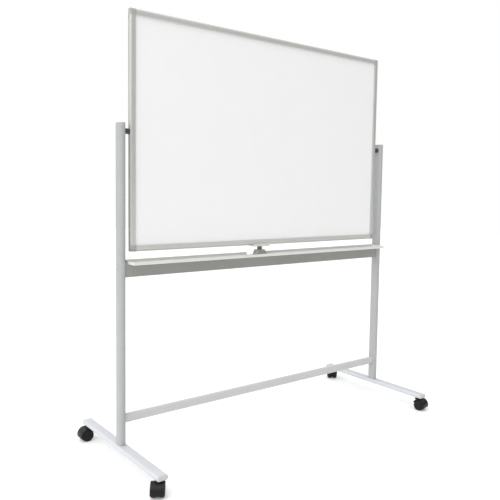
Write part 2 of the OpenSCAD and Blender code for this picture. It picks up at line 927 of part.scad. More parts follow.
left_post();
right_post();
left_post_cap();
right_post_cap();
left_foot();
right_foot();
left_foot_front_cap();
left_foot_rear_cap();
right_foot_front_cap();
right_foot_rear_cap();
upper_crossbar();
lower_crossbar();
marker_tray();
tray_left_cap();
tray_right_cap();
upper_crossbar_bolts();
lower_crossbar_screws();
crossbar_inserts();
post_bottom_inserts();
foot_bolts();
tray_screws();
caster_sockets();
caster_stems();
left_pivot_pin();
right_pivot_pin();
left_pivot_bush();
right_pivot_bush();
board_front_sheet();
board_core();
board_back_sheet();
rail_top();
rail_bottom();
rail_left();
rail_right();
corner_top_left();
corner_top_right();
corner_bottom_left();
corner_bottom_right();
corner_screws();
pivot_blocks();
lock_base();
lock_head();
lock_stem();
lock_spring();
caster_fl_body();
caster_fl_axle();
caster_fl_wheel_a();
caster_fl_wheel_b();
caster_fr_body();
caster_fr_axle();
caster_fr_wheel_a();
caster_fr_wheel_b();
caster_rl_body();
caster_rl_axle();
caster_rl_wheel_a();
caster_rl_wheel_b();
caster_rr_body();
caster_rr_axle();
caster_rr_wheel_a();
caster_rr_wheel_b();
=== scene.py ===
"""The looks of a rolling whiteboard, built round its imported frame.

Metres, +Z up. The writing side that is seen faces -Y and the board's length runs along X.
"""

import json
import math

import bmesh
import bpy
from mathutils import Matrix, Vector


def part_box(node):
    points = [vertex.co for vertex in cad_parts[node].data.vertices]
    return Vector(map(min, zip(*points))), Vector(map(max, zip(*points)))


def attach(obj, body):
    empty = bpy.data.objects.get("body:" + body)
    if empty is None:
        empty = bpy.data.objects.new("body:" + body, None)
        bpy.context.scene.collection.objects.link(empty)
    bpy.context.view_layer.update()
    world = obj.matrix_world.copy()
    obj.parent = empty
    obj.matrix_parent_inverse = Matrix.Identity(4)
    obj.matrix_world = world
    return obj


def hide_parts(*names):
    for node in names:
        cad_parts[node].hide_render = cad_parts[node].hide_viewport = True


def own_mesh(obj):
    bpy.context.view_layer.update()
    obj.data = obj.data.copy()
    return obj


MM = 0.001
# pale colour laid on what faces up: partly dust, partly a painted sheen from light above
DUST_AND_SHEEN = (0.30, 0.29, 0.275, 1.0)
SIDES = ("left", "right")
CASTERS = ("fl", "fr", "rl", "rr")

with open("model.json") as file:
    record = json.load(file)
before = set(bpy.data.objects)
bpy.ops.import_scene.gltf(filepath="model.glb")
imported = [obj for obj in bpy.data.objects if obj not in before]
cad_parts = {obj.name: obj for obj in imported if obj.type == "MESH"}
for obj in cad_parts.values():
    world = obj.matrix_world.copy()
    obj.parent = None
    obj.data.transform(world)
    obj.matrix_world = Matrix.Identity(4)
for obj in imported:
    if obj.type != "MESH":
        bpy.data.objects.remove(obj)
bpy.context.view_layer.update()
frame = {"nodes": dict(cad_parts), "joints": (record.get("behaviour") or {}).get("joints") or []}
nodes = frame["nodes"]
joints = {joint["name"]: joint for joint in frame["joints"]}


# ---------- materials ----------


def add_node(tree, kind, inputs=None, **settings):
    """Adds a shader node, with its settings, and its inputs as values or as sockets to link."""
    made = tree.nodes.new(kind)
    for name, value in settings.items():
        setattr(made, name, value)
    for name, value in (inputs or {}).items():
        if isinstance(value, bpy.types.NodeSocket):
            tree.links.new(value, made.inputs[name])
        else:
            made.inputs[name].default_value = value
    return made


def noise(tree, coords, scale, detail=3.0, roughness=0.55):
    """Noise between 0 and 1, with about scale features to the metre."""
    settings = {"Vector": coords, "Scale": scale, "Detail": detail, "Roughness": roughness}
    return add_node(tree, "ShaderNodeTexNoise", settings).outputs["Fac"]


def remap(tree, value, low, high, start=0.3, end=0.7):
    """Takes start..end to low..high."""
    settings = {"Value": value, "From Min": start, "From Max": end, "To Min": low, "To Max": high}
    return add_node(tree, "ShaderNodeMapRange", settings).outputs["Result"]


def mix_colour(tree, share, first, second):
    """Goes from the first colour to the second as share goes from 0 to 1."""
    made = add_node(tree, "ShaderNodeMix", data_type="RGBA")
    for index, value in ((0, share), (6, first), (7, second)):
        if isinstance(value, bpy.types.NodeSocket):
            tree.links.new(value, made.inputs[index])
        else:
            made.inputs[index].default_value = value
    return made.outputs[2]


def shade(colour, times):
    """An RGBA value from a linear colour, made darker or lighter."""
    return (*(min(1.0, part * times) for part in colour), 1.0)


def edge_mask(tree, coords, width):
    """1 on a piece's worn edges and 0 elsewhere, broken up by noise."""
    rounded = add_node(tree, "ShaderNodeBevel", {"Radius": width}, samples=4)
    true = add_node(tree, "ShaderNodeNewGeometry")
    dot = add_node(
        tree, "ShaderNodeVectorMath",
        {0: rounded.outputs["Normal"], 1: true.outputs["Normal"]}, operation="DOT_PRODUCT",
    )
    edge = remap(tree, dot.outputs["Value"], 1.0, 0.0, 0.80, 0.995)
    patchy = remap(tree, noise(tree, coords, 140.0), 0.0, 1.0, 0.42, 0.62)
    both = add_node(tree, "ShaderNodeMath", {0: edge, 1: patchy}, operation="MULTIPLY")
    return both.outputs[0]


def surface(
    name, colour, roughness, metallic=0.0, grain=(1200.0, 0.02), mottle=0.03,
    brushed=None, wear=None, dust_and_sheen=0.0, waves=None, coat=0.0, specular=0.5,
):
    """A Principled material with fine relief, drifting colour and uneven gloss.

    grain is features to the metre and their height in millimetres, brushed the axis that drawn lines
    run along (the lines then take the place of the grain's features), wear the colour of rubbed edges,
    dust_and_sheen the share of a pale colour on what faces up, partly dust and partly a painted sheen
    from light above, and waves the same as grain for long ripples.
    """
    material = bpy.data.materials.new(name)
    material.use_nodes = True
    tree = material.node_tree
    shader = tree.nodes["Principled BSDF"]
    coords = add_node(tree, "ShaderNodeTexCoord").outputs["Object"]

    drift = remap(tree, noise(tree, coords, 9.0), 0.0, 1.0)
    tone = mix_colour(tree, drift, shade(colour, 1 - mottle), shade(colour, 1 + mottle))
    gloss = remap(tree, noise(tree, coords, 60.0), roughness * 0.86, roughness * 1.14)

    if brushed is None:
        relief = noise(tree, coords, grain[0], 2.0)
    else:
        stretch = [1800.0, 1800.0, 1800.0]
        stretch[brushed] = 6.0
        drawn = add_node(tree, "ShaderNodeMapping", {"Vector": coords, "Scale": stretch})
        lines = noise(tree, drawn.outputs["Vector"], 1.0, 2.0)
        relief = remap(tree, lines, 0.0, 1.0)
        tone = mix_colour(tree, remap(tree, lines, 0.0, 0.09), tone, shade(colour, 0.6))
    # pale colour on upward faces: partly settled dust, partly a painted sheen from light above
    if dust_and_sheen:
        facing = add_node(tree, "ShaderNodeNewGeometry").outputs["Normal"]
        upward = add_node(tree, "ShaderNodeSeparateXYZ", {0: facing}).outputs["Z"]
        settled_dust_and_sheen = remap(tree, upward, 0.0, dust_and_sheen, 0.35, 1.0)
        patches = remap(tree, noise(tree, coords, 45.0, 5.0), 0.3, 1.0)
        share = add_node(tree, "ShaderNodeMath", {0: settled_dust_and_sheen, 1: patches}, operation="MULTIPLY")
        tone = mix_colour(tree, share.outputs[0], tone, DUST_AND_SHEEN)
    if wear:
        tone = mix_colour(tree, edge_mask(tree, coords, 0.9 * MM), tone, shade(wear, 1.0))

    bump = add_node(tree, "ShaderNodeBump", {"Height": relief, "Strength": 0.6, "Distance": grain[1] * MM})
    if waves:
        ripple = noise(tree, coords, waves[0], 1.0)
        settings = {"Height": ripple, "Strength": 1.0, "Distance": waves[1] * MM}
        settings["Normal"] = bump.outputs["Normal"]
        bump = add_node(tree, "ShaderNodeBump", settings)
    tree.links.new(tone, shader.inputs["Base Color"])
    tree.links.new(gloss, shader.inputs["Roughness"])
    tree.links.new(bump.outputs["Normal"], shader.inputs["Normal"])
    shader.inputs["Metallic"].default_value = metallic
    shader.inputs["Specular IOR Level"].default_value = specular
    shader.inputs["Coat Weight"].default_value = coat
    shader.inputs["Coat Roughness"].default_value = 0.12
    return material


POST_PAINT = surface(
    "post_paint", (0.37, 0.375, 0.378), 0.42, grain=(2600.0, 0.03), wear=(0.6, 0.61, 0.6),
)
# the posts' paint made lighter: painted light from above on the feet's tops
FOOT_PAINT_LIT = surface(
    "foot_paint_painted_light", (0.54, 0.555, 0.58), 0.40, grain=(2600.0, 0.03), wear=(0.7, 0.72, 0.73),
)
# the posts' paint made darker: painted shade from the tray that overhangs the upper crossbar
BAR_PAINT_SHADED = surface("bar_paint_painted_shade", (0.272, 0.277, 0.26), 0.42, grain=(2600.0, 0.03))
# the posts' paint made lighter: painted light from the floor's bounce below
LOW_BAR_PAINT_LIT = surface("low_bar_paint_painted_light", (0.50, 0.505, 0.505), 0.42, grain=(2600.0, 0.03))
CAP_PLASTIC = surface("cap_plastic", (0.50, 0.51, 0.52), 0.48, grain=(3200.0, 0.02), mottle=0.015)
POST_CAP_PLASTIC = surface("post_cap_plastic", (0.39, 0.40, 0.39), 0.48, grain=(3200.0, 0.02))
TRAY_ALUMINIUM = surface(
    "tray_aluminium", (0.685, 0.69, 0.66), 0.38, 0.25, grain=(1.0, 0.02), brushed=0, mottle=0.02,
)
TRAY_CAP_PLASTIC = surface("tray_cap_plastic", (0.66, 0.67, 0.64), 0.45, grain=(3200.0, 0.02))
RAIL_ALONG_X = surface(
    "rail_aluminium_x", (0.57, 0.57, 0.55), 0.34, 0.45, grain=(1.0, 0.02), brushed=0, mottle=0.02,
)
RAIL_ALONG_Z = surface(
    "rail_aluminium_z", (0.54, 0.54, 0.52), 0.34, 0.45, grain=(1.0, 0.02), brushed=2, mottle=0.02,
)
CORNER_PLASTIC = surface("corner_plastic", (0.33, 0.35, 0.325), 0.46, grain=(2800.0, 0.03), mottle=0.02)
ENAMEL = surface(
    "writing_enamel", (0.81, 0.81, 0.81), 0.18, grain=(900.0, 0.002), mottle=0.006,
    waves=(14.0, 0.05), coat=0.2, specular=0.4,
)
FIBREBOARD = surface("fibreboard", (0.45, 0.34, 0.22), 0.85, grain=(1500.0, 0.15), mottle=0.12)
ZINC = surface("zinc", (0.60, 0.61, 0.62), 0.30, 1.0, grain=(1600.0, 0.01), mottle=0.06)
SPRING_STEEL = surface("spring_steel", (0.48, 0.49, 0.51), 0.28, 1.0, grain=(2200.0, 0.01))
BLACK_SCREW = surface("black_screw", (0.035, 0.035, 0.036), 0.38, 0.6, grain=(2400.0, 0.01))
INSERT_PLASTIC = surface("insert_plastic", (0.035, 0.036, 0.038), 0.50, grain=(2400.0, 0.02))
LOCK_DARK = surface("lock_dark", (0.12, 0.125, 0.115), 0.42, grain=(2800.0, 0.02), wear=(0.2, 0.205, 0.19))
LOCK_GREY = surface("lock_grey", (0.29, 0.295, 0.28), 0.42, grain=(2800.0, 0.02), wear=(0.42, 0.43, 0.41))
LOCK_LIGHT = surface("lock_light", (0.60, 0.61, 0.58), 0.34, grain=(3000.0, 0.01), mottle=0.015)
# the casters' upward faces take a little pale colour: partly dust, partly a painted sheen
NYLON = surface(
    "caster_nylon", (0.009, 0.0095, 0.0115), 0.40, grain=(2400.0, 0.04), mottle=0.12,
    wear=(0.035, 0.035, 0.038), dust_and_sheen=0.03, specular=0.18,
)
TREAD = surface(
    "caster_tread", (0.010, 0.0105, 0.0125), 0.50, grain=(1800.0, 0.06), mottle=0.15,
    wear=(0.04, 0.04, 0.043), dust_and_sheen=0.03, specular=0.18,
)


def paint(thing, material):
    """Gives a CAD node or a new piece one material."""
    if thing.material_slots:
        for place in thing.material_slots:
            place.material = material
    else:
        thing.data.materials.append(material)


# ---------- mesh tools ----------

SHARP = math.radians(34)


def new_piece(name, mesh, body, slot, material, *stands_for):
    """Turns a bmesh into a piece that rides on a body and stands for CAD nodes."""
    bmesh.ops.recalc_face_normals(mesh, faces=mesh.faces)
    data = bpy.data.meshes.new(name)
    mesh.to_mesh(data)
    mesh.free()
    piece = bpy.data.objects.new(name, data)
    bpy.context.scene.collection.objects.link(piece)
    data.shade_smooth()
    data.set_sharp_from_angle(angle=SHARP)
    paint(piece, material)
    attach(piece, body)
    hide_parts(*stands_for)
    return piece


def soften(piece, width, segments=2):
    """Rounds a piece's sharp edges."""
    bevel = piece.modifiers.new("edges", "BEVEL")
    bevel.width = width
    bevel.segments = segments
    bevel.limit_method = "ANGLE"
    bevel.angle_limit = SHARP
    bevel.use_clamp_overlap = False
    bevel.miter_outer = "MITER_ARC"
    bevel.harden_normals = True
    return piece


def refined(node, body, slot, material, width):
    """A copy of a CAD node with its flat faces cleaned and its edges rounded."""
    mesh = bmesh.new()
    mesh.from_mesh(nodes[node].data)
    bmesh.ops.remove_doubles(mesh, verts=mesh.verts, dist=0.002 * MM)
    bmesh.ops.dissolve_limit(
        mesh, angle_limit=math.radians(0.4), verts=mesh.verts, edges=mesh.edges,
        use_dissolve_boundaries=False,
    )
    return soften(new_piece(node + "_piece", mesh, body, slot, material, node), width)


def loft(mesh, rings, place=Matrix.Identity(4), closed=False):
    """Skins rings of equal length, with a face on each end or, if closed, the last joined to the first."""
    rows = [[mesh.verts.new(place @ Vector(point)) for point in ring] for ring in rings]
    count = len(rows[0])
    pairs = list(zip(rows, rows[1:]))
    if closed:
        pairs.append((rows[-1], rows[0]))
    for low, high in pairs:
        for i in range(count):
            j = (i + 1) % count
            mesh.faces.new((low[i], low[j], high[j], high[i]))
    if not closed:
        mesh.faces.new(list(reversed(rows[0])))
        mesh.faces.new(rows[-1])


def ring(radius_at, height, count):
    """A ring of points round Z, whose radius is a number or a function of the angle."""
    points = []
    for i in range(count):
        angle = 2 * math.pi * i / count
        radius = radius_at(angle) if callable(radius_at) else radius_at
        points.append((radius * math.cos(angle), radius * math.sin(angle), height))
    return points


def arc(centre, radius, start, end, steps):
    """Points on an arc, with its angles in degrees."""
    points = []
    for i in range(steps + 1):
        angle = math.radians(start + (end - start) * i / steps)
        points.append((centre[0] + radius * math.cos(angle), centre[1] + radius * math.sin(angle)))
    return points


def turned(mesh, outline, place=Matrix.Identity(4), count=64):
    """Spins a closed outline of (radius, height) round Z, where the outline stays off the axis."""
    rings = []
    for i in range(count):
        angle = 2 * math.pi * i / count
        rings.append([(r * math.cos(angle), r * math.sin(angle), h) for r, h in outline])
    loft(mesh, rings, place, closed=True)


def axes(origin, x, y, z):
    """A placement from an origin and three directions."""
    rows = Matrix((x, y, z)).transposed().to_4x4()
    return Matrix.Translation(origin) @ rows


def toward(origin, direction):
    """A placement whose Z points along a direction."""
    turn = Vector(direction).to_track_quat("Z", "Y").to_matrix().to_4x4()
    return Matrix.Translation(origin) @ turn


# ---------- fasteners ----------

DRIVE_POINTS = 48
BAR_SCREW_LENGTH = 58 * MM


def hexagon(across):
    """The radius of a hexagon with that size across its flats."""
    sector = math.pi / 3
    return lambda angle: across / 2 / math.cos((angle + sector / 2) % sector - sector / 2)


def cross(arm, width):
    """The radius of a cross recess."""

    def radius(angle):
        off = (angle + math.pi / 4) % (math.pi / 2) - math.pi / 4
        along = abs(math.cos(off))
        across = max(abs(math.sin(off)), 1e-6)
        inner = width / 2 * math.sqrt(2)
        return max(min(arm / along, width / 2 / across), min(inner, arm))

    return radius


def fastener(mesh, place, head_radius, head_height, drive, depth, shank_radius, length):
    """A screw whose head sits on Z = 0 and whose shank goes down to -length."""
    edge = min(head_height, head_radius) * 0.35
    outer = [
        (shank_radius * 0.7, -length),
        (shank_radius, -length + shank_radius * 0.5),
        (shank_radius, 0.0),
        (head_radius, 0.0),
        (head_radius, head_height - edge),
    ]
    outer += [(r, h) for r, h in arc((head_radius - edge, head_height - edge), edge, 18, 90, 4)]
    rings = [ring(r, h, DRIVE_POINTS) for r, h in outer]
    for sink, narrow in ((0.0, 1.0), (0.12, 0.94), (1.0, 0.86)):
        height = head_height - depth * sink
        rings.append(ring(lambda angle, k=narrow: drive(angle) * k, height, DRIVE_POINTS))
    loft(mesh, rings, place)


def build_bar_bolts():
    """Four hexagon-socket bolts that go through the posts into the upper crossbar."""
    low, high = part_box("upper_crossbar_bolts")
    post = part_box("right_post")[1].x
    head_height = high.x - post
    head_radius = high.y
    drive = hexagon(5 * MM)
    mesh = bmesh.new()
    for side in (-1, 1):
        for z in (low.z + head_radius, high.z - head_radius):
            place = toward((side * post, 0, z), (side, 0, 0))
            fastener(
                mesh, place, head_radius, head_height, drive,
                depth=2.4 * MM, shank_radius=4 * MM, length=BAR_SCREW_LENGTH,
            )
    new_piece("crossbar_bolts_piece", mesh, "stand", "zinc_hardware", ZINC, "upper_crossbar_bolts")


def build_low_screws():
    """Two cross-head screws that hold the lower crossbar."""
    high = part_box("lower_crossbar_screws")[1]
    bar_low, bar_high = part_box("lower_crossbar")
    middle = (bar_low.z + bar_high.z) / 2
    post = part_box("right_post")[1].x
    drive = cross(2.6 * MM, 1.1 * MM)
    mesh = bmesh.new()
    for side in (-1, 1):
        place = toward((side * post, 0, middle), (side, 0, 0))
        fastener(
            mesh, place, high.y, high.x - post, drive,
            depth=1.5 * MM, shank_radius=3 * MM, length=BAR_SCREW_LENGTH,
        )
    new_piece("lower_screws_piece", mesh, "stand", "zinc_hardware", ZINC, "lower_crossbar_screws")


def build_frame_screws():
    """Eight dark cross-head screws that sit in the frame's grooves and hold the corners."""
    low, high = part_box("corner_screws")
    edge_low, edge_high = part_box("corner_bottom_left")[0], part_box("corner_top_right")[1]
    sunk = low.x - edge_low.x
    radius, height = high.y, 2 * MM
    inset = 39 * MM
    drive = cross(1.7 * MM, 0.7 * MM)
    places = []
    for side in (-1, 1):
        for level in (edge_low.z + inset, edge_high.z - inset):
            places.append(((side * (edge_high.x - sunk - height), 0, level), (side, 0, 0)))
        places.append(((side * (edge_high.x - inset), 0, edge_low.z + sunk + height), (0, 0, -1)))
        places.append(((side * (edge_high.x - inset), 0, edge_high.z - sunk - height), (0, 0, 1)))
    mesh = bmesh.new()
    for origin, direction in places:
        fastener(
            mesh, toward(origin, direction), radius, height, drive,
            depth=1.2 * MM, shank_radius=1.6 * MM, length=8.4 * MM,
        )
    new_piece("frame_screws_piece", mesh, "board", "dark_screw", BLACK_SCREW, "corner_screws")


def build_tray_screws():
    """Four screws that hold the tray on the crossbar and two that hold the lock's base."""
    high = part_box("tray_screws")[1]
    tray_wall, head_radius = 2 * MM, 4 * MM
    tray_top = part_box("upper_crossbar")[1].z + tray_wall
    outer = high.x - head_radius
    inner = outer * 0.4 / 0.78
    drive = cross(2.3 * MM, 0.9 * MM)
    mesh = bmesh.new()
    for x in (-outer, -inner, inner, outer):
        fastener(
            mesh, toward((x, 0, tray_top), (0, 0, 1)), head_radius, 1.6 * MM, drive,
            depth=1.1 * MM, shank_radius=2 * MM, length=13.9 * MM,
        )

    base_low, base_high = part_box("lock_base")
    middle = (base_low.x + base_high.x) / 2
    apart, head_height = 25.5 * MM, 2 * MM
    drive = cross(1.9 * MM, 0.8 * MM)
    for side in (-1, 1):
        place = toward((middle + side * apart, 0, high.z - head_height), (0, 0, 1))
        fastener(
            mesh, place, 3.2 * MM, head_height, drive,
            depth=1.3 * MM, shank_radius=1.75 * MM, length=15.9 * MM,
        )
    new_piece("tray_screws_piece", mesh, "stand", "zinc_hardware", ZINC, "tray_screws")


def build_foot_bolts():
    """Four hexagon bolts that hold the posts on the feet, from below."""
    low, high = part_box("foot_bolts")
    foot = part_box("left_foot")[0].z
    post_low, post_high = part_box("right_post")
    post = (post_low.x + post_high.x) / 2
    height, length = foot - low.z, high.z - foot
    across, shank_radius = 11.2 * MM, 4 * MM
    reach = high.y - across / 2
    nut = hexagon(across)
    rings = [
        ring(shank_radius * 0.7, -length, DRIVE_POINTS),
        ring(shank_radius, shank_radius / 2 - length, DRIVE_POINTS),
        ring(shank_radius, 0.0, DRIVE_POINTS),
        ring(nut, 0.0, DRIVE_POINTS),
        ring(nut, height * 0.8, DRIVE_POINTS),
        ring(across / 2 * 0.9, height, DRIVE_POINTS),
    ]
    mesh = bmesh.new()
    for side in (-1, 1):
        for way in (-1, 1):
            loft(mesh, rings, toward((side * post, way * reach, foot), (0, 0, -1)))
    new_piece("foot_bolts_piece", mesh, "stand", "zinc_hardware", ZINC, "foot_bolts")


# ---------- stand ----------


def oval(length, width, height, count=96):
    """A flat-oval ring round Z, with its long side along X."""
    radius = width / 2
    straight = length / 2 - radius
    points = []
    for i in range(count):
        angle = 2 * math.pi * (i + 0.5) / count
        x, y = radius * math.cos(angle), radius * math.sin(angle)
        points.append((x + math.copysign(straight, x), y, height))
    return points


def oval_cap(name, node, place, length, width, height, edge, material):
    """A plastic end cap on a flat-oval tube, with a fine seam where it meets the tube."""
    seam, plug, wall = 0.45 * MM, 14 * MM, 1.7 * MM
    # how far in from the tube's outline, and at which height
    levels = [
        (wall + seam, -plug), (wall, -plug + seam), (wall, 0.0), (seam, 0.0),
        (seam * 0.25, seam * 0.6), (0.0, seam * 1.4), (0.0, height - edge),
    ]
    levels += [(-x, y) for x, y in arc((-edge, height - edge), edge, 0, 90, 8)[1:]]
    rings = [oval(length - 2 * inset, width - 2 * inset, level) for inset, level in levels]
    mesh = bmesh.new()
    loft(mesh, rings, place)
    new_piece(name, mesh, "stand", "cap_plastic", material, node)


def build_caps():
    """The caps on the posts' tops and on the feet's ends."""
    for side in SIDES:
        low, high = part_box(side + "_post")
        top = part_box(side + "_post_cap")[1].z
        middle = (low.x + high.x) / 2
        place = axes((middle, 0, high.z), (0, 1, 0), (-1, 0, 0), (0, 0, 1))
        oval_cap(
            side + "_post_cap_piece", side + "_post_cap", place,
            high.y - low.y, high.x - low.x, top - high.z, 3 * MM, POST_CAP_PLASTIC,
        )
        low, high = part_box(side + "_foot")
        centre = (low + high) / 2
        for end, way in (("front", -1), ("rear", 1)):
            cap_node = f"{side}_foot_{end}_cap"
            reach = max(abs(corner.y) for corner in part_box(cap_node))
            place = axes((centre.x, way * high.y, centre.z), (-way, 0, 0), (0, 0, 1), (0, way, 0))
            oval_cap(
                cap_node + "_piece", cap_node, place,
                high.x - low.x, high.z - low.z, reach - high.y, 6 * MM, CAP_PLASTIC,
            )


def dress_stand():
    """Materials and softened edges for the stand's own parts."""
    for side in SIDES:
        paint(nodes[side + "_post"], POST_PAINT)
        # the feet's paint carries painted light from above
        paint(nodes[side + "_foot"], FOOT_PAINT_LIT)
        paint(nodes[side + "_pivot_pin"], ZINC)
        refined(f"tray_{side}_cap", "stand", "cap_plastic", TRAY_CAP_PLASTIC, 0.4 * MM)
    # the upper crossbar's paint carries painted shade from the tray above it
    paint(nodes["upper_crossbar"], BAR_PAINT_SHADED)
    # the lower crossbar's paint carries painted light from the floor's bounce
    paint(nodes["lower_crossbar"], LOW_BAR_PAINT_LIT)
    paint(nodes["marker_tray"], TRAY_ALUMINIUM)
    paint(nodes["crossbar_inserts"], INSERT_PLASTIC)
    paint(nodes["post_bottom_inserts"], INSERT_PLASTIC)
    paint(nodes["caster_sockets"], INSERT_PLASTIC)
    paint(nodes["caster_stems"], ZINC)


# ---------- board ----------


def dress_board():
    """Materials for the writing panel and its frame, and rounded corner caps."""
    for side in ("front", "back"):
        paint(nodes[f"board_{side}_sheet"], ENAMEL)
    paint(nodes["board_core"], FIBREBOARD)
    for side in ("top", "bottom"):
        paint(nodes["rail_" + side], RAIL_ALONG_X)
    for side in SIDES:
        paint(nodes["rail_" + side], RAIL_ALONG_Z)
        refined(side + "_pivot_bush", "board", "insert_plastic", INSERT_PLASTIC, 0.3 * MM)
        for level in ("top", "bottom"):
            refined(f"corner_{level}_{side}", "board", "corner_plastic", CORNER_PLASTIC, 0.45 * MM)
    refined("pivot_blocks", "board", "zinc_hardware", ZINC, 0.3 * MM)


# ---------- lock ----------


def build_spring():
    """The lock's coil spring, with half a flat turn on each end."""
    low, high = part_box("lock_spring")
    middle = (low + high) / 2
    wire = 0.8 * MM
    radius = (high.x - low.x) / 2 - wire
    coils, flat, steps = 6, 1, 28
    curve = bpy.data.curves.new("lock_spring_piece", "CURVE")
    curve.dimensions = "3D"
    curve.bevel_depth = wire
    curve.bevel_resolution = 3
    curve.use_fill_caps = True
    line = curve.splines.new("POLY")
    total = (coils + flat) * steps
    line.points.add(total)
    rise = high.z - low.z - 2 * wire
    for i in range(total + 1):
        angle = 2 * math.pi * i / steps
        share = min(max((i / steps - flat / 2) / coils, 0.0), 1.0)
        x, y = radius * math.cos(angle), radius * math.sin(angle)
        line.points[i].co = (middle.x + x, middle.y + y, low.z + wire + rise * share, 1)
    shell = bpy.data.objects.new("lock_spring_curve", curve)
    bpy.context.scene.collection.objects.link(shell)
    bpy.context.view_layer.update()
    mesh = bmesh.new()
    mesh.from_mesh(shell.to_mesh())
    bpy.data.objects.remove(shell)
    piece = new_piece("lock_spring_piece", mesh, "lock", "spring_steel", SPRING_STEEL, "lock_spring")
    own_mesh(piece)


def build_lock():
    """The spring lock under the board's lower rail."""
    refined("lock_base", "stand", "lock_dark", LOCK_GREY, 0.7 * MM)
    refined("lock_head", "lock", "lock_light", LOCK_LIGHT, 0.6 * MM)
    refined("lock_stem", "lock", "lock_dark", LOCK_DARK, 0.5 * MM)
    build_spring()


# ---------- casters ----------

HALF_WIDTH = 28 * MM
WHEEL_INNER = 7 * MM
AXLE_BORE = 3.6 * MM
# the hood's two ends, in degrees round the axle, where 90 is straight up
HOOD_LOW, HOOD_HIGH = -20.0, 160.0


def caster_place(name):
    """A caster's own frame: the swivel axis is Z and the wheels lie towards +X. Also its trail."""
    swivel = Vector(joints[f"caster_{name}_swivel"]["pos_m"])
    centre = Vector(joints[f"caster_{name}_roll_a"]["pos_m"])
    forward = Vector((centre.x - swivel.x, centre.y - swivel.y, 0))
    trail = forward.length
    forward.normalize()
    up = Vector((0, 0, 1))
    return axes((swivel.x, swivel.y, 0), forward, up.cross(forward), up), trail


def wheel_outline(radius, inner, outer):
    """Half a wheel's section as (radius, distance out): dished face, hub ring, round shoulder and tread."""
    shoulder = 6.5 * MM
    face = outer - 1.9 * MM
    outline = [
        (AXLE_BORE, inner), (8.0 * MM, inner), (9.0 * MM, inner + 1.6 * MM),
        (radius - 5 * MM, inner + 1.6 * MM), (radius - 3.6 * MM, inner), (radius - 1 * MM, inner),
        (radius, inner + 1 * MM),
    ]
    for groove in (inner + 5.2 * MM, inner + 9.4 * MM):
        outline += [(radius, groove - 0.5 * MM), (radius - 0.5 * MM, groove - 0.2 * MM)]
        outline += [(radius - 0.5 * MM, groove + 0.2 * MM), (radius, groove + 0.5 * MM)]
    outline += arc((radius - shoulder, outer - shoulder), shoulder, 0, 90, 9)
    outline += [
        (radius - shoulder - 1.2 * MM, outer - 0.2 * MM), (radius - shoulder - 2.4 * MM, face),
        (11.2 * MM, face), (10.0 * MM, face + 1.3 * MM), (8.6 * MM, face + 1.6 * MM),
        (5.4 * MM, face + 1.4 * MM), (4.6 * MM, face + 0.5 * MM), (4.4 * MM, face),
        (0.5 * MM, face), (0.5 * MM, face - 0.2 * MM), (AXLE_BORE, face - 0.2 * MM),
    ]
    return outline


def build_wheels(name, place, trail, radius):
    """Two wheels on one axle."""
    for letter, way in (("a", 1), ("b", -1)):
        node = f"caster_{name}_wheel_{letter}"
        turn = axes((trail, 0, radius), (1, 0, 0), (0, 0, -way), (0, way, 0))
        mesh = bmesh.new()
        turned(mesh, wheel_outline(radius, WHEEL_INNER, HALF_WIDTH), place @ turn, 72)
        body = f"caster_{name}_roller_{letter}"
        new_piece(node + "_piece", mesh, body, "caster_tread", TREAD, node)


def hood_ring(angle, radius, centre):
    """One section of the hood's shell at an angle round the wheel axis."""
    wall, round_edge, draft = 3.4 * MM, 2.2 * MM, 0.6 * MM
    section = [(-HALF_WIDTH + draft, radius - wall)]
    section += arc((-HALF_WIDTH + round_edge, radius - round_edge), round_edge, 180, 90, 5)
    section += arc((HALF_WIDTH - round_edge, radius - round_edge), round_edge, 90, 0, 5)
    section += [(HALF_WIDTH - draft, radius - wall)]
    return [(centre[0] + r * math.cos(angle), y, centre[1] + r * math.sin(angle)) for y, r in section]


def build_hood(name, place, centre, radius):
    """The curved hood over a caster's wheels."""
    steps = 40
    rings = []
    for i in range(steps + 1):
        angle = math.radians(HOOD_LOW + (HOOD_HIGH - HOOD_LOW) * i / steps)
        rings.append(hood_ring(angle, radius, centre))
    mesh = bmesh.new()
    loft(mesh, rings, place)
    hood = new_piece(
        f"caster_{name}_hood", mesh, "caster_" + name, "caster_plastic", NYLON, f"caster_{name}_body",
    )
    soften(hood, 0.9 * MM, 3)


def build_web(name, place, centre, hood_radius, wheel_radius):
    """The plate between a caster's wheels, which fills the space inside the hood."""
    outline = arc(centre, hood_radius - 1.2 * MM, HOOD_LOW - 10, HOOD_HIGH + 10, 44)
    outline += arc(centre, wheel_radius - 4.5 * MM, HOOD_HIGH + 14, HOOD_LOW - 14 + 360, 30)
    half = 6 * MM
    mesh = bmesh.new()
    loft(mesh, [[(x, y, z) for x, z in outline] for y in (-half, half)], place)
    soften(new_piece(f"caster_{name}_web", mesh, "caster_" + name, "caster_plastic", NYLON), 0.6 * MM)


def build_hub(name, place, centre):
    """The boss round a caster's axle, between the wheels."""
    radius, half, edge = 9 * MM, 6.6 * MM, (0.8 * MM, 0.6 * MM)
    outline = [(AXLE_BORE, -half), (radius - edge[0], -half), (radius, edge[1] - half)]
    outline += [(r, -h) for r, h in reversed(outline)]
    turn = axes((centre[0], 0, centre[1]), (1, 0, 0), (0, 0, -1), (0, 1, 0))
    mesh = bmesh.new()
    turned(mesh, outline, place @ turn, 48)
    new_piece(f"caster_{name}_hub", mesh, "caster_" + name, "caster_plastic", NYLON)


